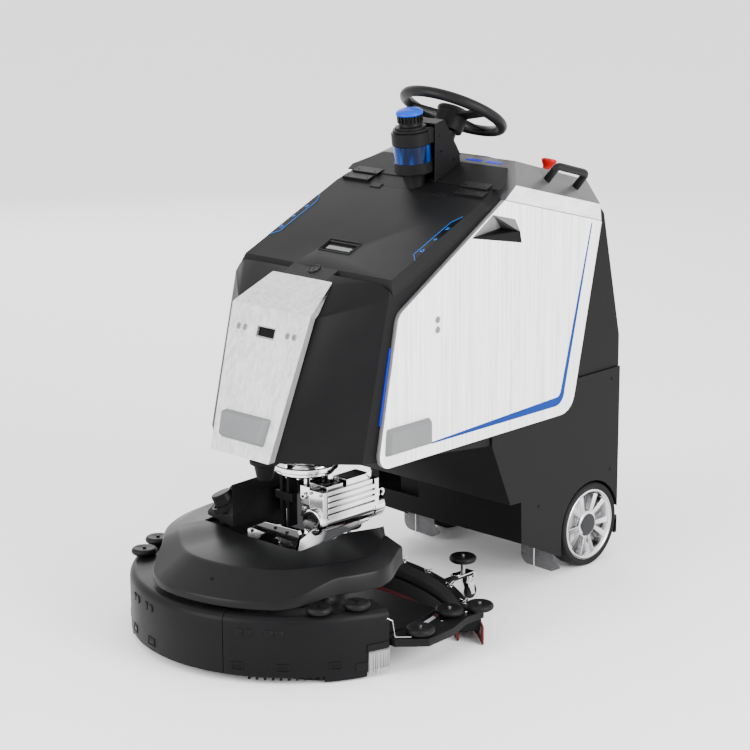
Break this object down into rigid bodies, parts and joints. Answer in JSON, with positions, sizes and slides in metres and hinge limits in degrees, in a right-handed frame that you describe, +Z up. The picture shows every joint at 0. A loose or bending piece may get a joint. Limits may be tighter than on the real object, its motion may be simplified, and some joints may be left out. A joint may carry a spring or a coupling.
{
  "type": "robotic floor scrubber",
  "caption": "Self-driving floor scrubber: tapered body on rear wheels, hinged hood, laser scanner and steering wheel on top, steered front brush deck trailing a curved squeegee.",
  "frame": {"origin": "on the floor, under the middle of the outer box", "axes": "+Z up; the front of the machine faces -Y; the machine's left side is +X"},
  "size_m": [0.934, 1.38, 1.297],
  "materials": {
    "black_plastic": "satin moulded",
    "silver_panel": "satin silver",
    "polished_metal": "polished",
    "frame_steel": "matte grey coat",
    "grey_plastic": "moulded",
    "tyre": "solid rubber",
    "soft_black": "matte",
    "red_plastic": "glossy",
    "blue_plastic": "glossy",
    "blade_rubber": "smooth dark red",
    "bristle": "nylon tufts",
    "screen": "smooth cover"
  },
  "bodies": {
    "body": {"chassis_frame": "frame_steel", "lower_casing": "black_plastic", "hull_shell": "black_plastic", "front_panel": "silver_panel", "side_panel_left": "silver_panel", "side_panel_right": "silver_panel", "console_cover": "silver_panel", "solution_tank": "grey_plastic", "recovery_tank": "grey_plastic", "battery_pack": "grey_plastic", "vacuum_motor": "grey_plastic", "lidar_bracket": "black_plastic", "lidar_housing": "black_plastic", "status_beacon": "blue_plastic", "grab_handle_left": "soft_black", "grab_handle_right": "soft_black", "steering_column": "black_plastic", "touch_display": "screen", "splash_flap_left": "soft_black", "splash_flap_right": "soft_black", "slewing_bearing": "polished_metal"},
    "lid": {"tank_lid": "black_plastic"},
    "latch": {"lid_latch": "grey_plastic"},
    "lock": {"lock_barrel": "frame_steel"},
    "emergency_stop": {"estop_button": "red_plastic"},
    "steering": {"steering_wheel": "soft_black"},
    "rear_wheel_left": {"rear_tyre_left": "tyre", "rear_rim_left": "polished_metal"},
    "rear_wheel_right": {"rear_tyre_right": "tyre", "rear_rim_right": "polished_metal"},
    "turret": {"turret_yoke": "polished_metal", "traction_motor": "polished_metal", "lift_bracket": "polished_metal"},
    "front_wheel": {"drive_wheel": "tyre"},
    "deck": {"deck_plate": "frame_steel", "deck_shroud": "black_plastic", "skirt_left": "black_plastic", "skirt_right": "black_plastic", "motor_cover": "black_plastic"},
    "brush_left_body": {"brush_left": "bristle"},
    "brush_right_body": {"brush_right": "bristle"},
    "squeegee": {"squeegee_beam": "black_plastic", "squeegee_blade_front": "blade_rubber", "squeegee_blade_rear": "blade_rubber"},
    "deck_roller_front_left": {"roller_front_left": "soft_black"},
    "deck_roller_front_right": {"roller_front_right": "soft_black"},
    "deck_roller_rear_left": {"roller_rear_left": "soft_black"},
    "deck_roller_rear_right": {"roller_rear_right": "soft_black"},
    "guide_arm_left": {"squeegee_roller_arm_left": "soft_black"},
    "guide_arm_right": {"squeegee_roller_arm_right": "soft_black"},
    "guide_link_left": {"squeegee_roller_link_left": "soft_black"},
    "guide_link_right": {"squeegee_roller_link_right": "soft_black"},
    "guide_tip_left": {"squeegee_roller_tip_left": "soft_black"},
    "guide_tip_right": {"squeegee_roller_tip_right": "soft_black"},
    "guide_caster_left": {"squeegee_roller_caster_left": "soft_black"},
    "guide_caster_right": {"squeegee_roller_caster_right": "soft_black"},
    "caster_left": {"caster_fork_left": "polished_metal"},
    "caster_left_roll": {"caster_wheel_left": "soft_black"},
    "caster_right": {"caster_fork_right": "polished_metal"},
    "caster_right_roll": {"caster_wheel_right": "soft_black"}
  },
  "joints": [
    {"name": "lid_hinge", "type": "hinge", "parent": "body", "child": "lid", "pos_m": [0, 0.134, 1.041], "axis": [-1, 0, 0], "range_deg": [0, 60]},
    {"name": "latch_pivot", "type": "hinge", "parent": "lid", "child": "latch", "pos_m": [0, -0.0935, 0.93899], "axis": [-1, 0, 0], "range_deg": [0, 25], "stiffness_Nm_per_rad": 0.05},
    {"name": "lock_turn", "type": "hinge", "parent": "lid", "child": "lock", "pos_m": [0.004, -0.206, 0.89033], "axis": [0, -0.4051, 0.9143], "range_deg": [0, 90]},
    {"name": "stop_press", "type": "slide", "parent": "body", "child": "emergency_stop", "axis": [0, -0.2756, -0.9613], "range_m": [0, 0.006], "stiffness_N_per_m": 600},
    {"name": "steering_turn", "type": "hinge", "parent": "body", "child": "steering", "pos_m": [0, 0.305, 1.222], "axis": [0, 0.4756, 0.8796], "range_deg": [-150, 150]},
    {"name": "rear_wheel_left_spin", "type": "hinge", "parent": "body", "child": "rear_wheel_left", "pos_m": [0.238, 0.558, 0.114], "axis": [1, 0, 0], "continuous": true},
    {"name": "rear_wheel_right_spin", "type": "hinge", "parent": "body", "child": "rear_wheel_right", "pos_m": [-0.238, 0.558, 0.114], "axis": [1, 0, 0], "continuous": true},
    {"name": "turret_steer", "type": "hinge", "parent": "body", "child": "turret", "pos_m": [0, -0.242, 0.425], "axis": [0, 0, 1], "range_deg": [-90, 90]},
    {"name": "front_wheel_spin", "type": "hinge", "parent": "turret", "child": "front_wheel", "pos_m": [0, -0.242, 0.11], "axis": [1, 0, 0], "continuous": true},
    {"name": "deck_lift", "type": "slide", "parent": "turret", "child": "deck", "axis": [0, 0, 1], "range_m": [0, 0.03]},
    {"name": "brush_left_spin", "type": "hinge", "parent": "deck", "child": "brush_left_body", "pos_m": [0.2, -0.397, 0], "axis": [0, 0, 1], "continuous": true},
    {"name": "brush_right_spin", "type": "hinge", "parent": "deck", "child": "brush_right_body", "pos_m": [-0.2, -0.397, 0], "axis": [0, 0, 1], "continuous": true},
    {"name": "squeegee_lift", "type": "hinge", "parent": "deck", "child": "squeegee", "pos_m": [0, -0.347, 0.1], "axis": [1, 0, 0], "range_deg": [0, 8]},
    {"name": "deck_roller_front_left_spin", "type": "hinge", "parent": "deck", "child": "deck_roller_front_left", "pos_m": [0.308, -0.507, 0.176], "axis": [0, 0, 1], "continuous": true},
    {"name": "deck_roller_front_right_spin", "type": "hinge", "parent": "deck", "child": "deck_roller_front_right", "pos_m": [-0.308, -0.507, 0.176], "axis": [0, 0, 1], "continuous": true},
    {"name": "deck_roller_rear_left_spin", "type": "hinge", "parent": "deck", "child": "deck_roller_rear_left", "pos_m": [0.35, -0.425, 0.176], "axis": [0, 0, 1], "continuous": true},
    {"name": "deck_roller_rear_right_spin", "type": "hinge", "parent": "deck", "child": "deck_roller_rear_right", "pos_m": [-0.35, -0.425, 0.176], "axis": [0, 0, 1], "continuous": true},
    {"name": "guide_arm_left_spin", "type": "hinge", "parent": "squeegee", "child": "guide_arm_left", "pos_m": [0.432, -0.295, 0.098], "axis": [0, 0, 1], "continuous": true},
    {"name": "guide_arm_right_spin", "type": "hinge", "parent": "squeegee", "child": "guide_arm_right", "pos_m": [-0.432, -0.295, 0.098], "axis": [0, 0, 1], "continuous": true},
    {"name": "guide_link_left_spin", "type": "hinge", "parent": "squeegee", "child": "guide_link_left", "pos_m": [0.398, -0.154, 0.098], "axis": [0, 0, 1], "continuous": true},
    {"name": "guide_link_right_spin", "type": "hinge", "parent": "squeegee", "child": "guide_link_right", "pos_m": [-0.398, -0.154, 0.098], "axis": [0, 0, 1], "continuous": true},
    {"name": "guide_tip_left_spin", "type": "hinge", "parent": "squeegee", "child": "guide_tip_left", "pos_m": [0.43, -0.08, 0.098], "axis": [0, 0, 1], "continuous": true},
    {"name": "guide_tip_right_spin", "type": "hinge", "parent": "squeegee", "child": "guide_tip_right", "pos_m": [-0.43, -0.08, 0.098], "axis": [0, 0, 1], "continuous": true},
    {"name": "guide_caster_left_spin", "type": "hinge", "parent": "squeegee", "child": "guide_caster_left", "pos_m": [0.203, 0.118, 0.116], "axis": [0, 0, 1], "continuous": true},
    {"name": "guide_caster_right_spin", "type": "hinge", "parent": "squeegee", "child": "guide_caster_right", "pos_m": [-0.203, 0.118, 0.116], "axis": [0, 0, 1], "continuous": true},
    {"name": "caster_left_swivel", "type": "hinge", "parent": "squeegee", "child": "caster_left", "pos_m": [0.2, 0.138, 0.066], "axis": [0, 0, 1], "continuous": true},
    {"name": "caster_left_spin", "type": "hinge", "parent": "caster_left", "child": "caster_left_roll", "pos_m": [0.2, 0.15, 0.019], "axis": [1, 0, 0], "continuous": true},
    {"name": "caster_right_swivel", "type": "hinge", "parent": "squeegee", "child": "caster_right", "pos_m": [-0.2, 0.138, 0.066], "axis": [0, 0, 1], "continuous": true},
    {"name": "caster_right_spin", "type": "hinge", "parent": "caster_right", "child": "caster_right_roll", "pos_m": [-0.2, 0.15, 0.019], "axis": [1, 0, 0], "continuous": true}
  ]
}
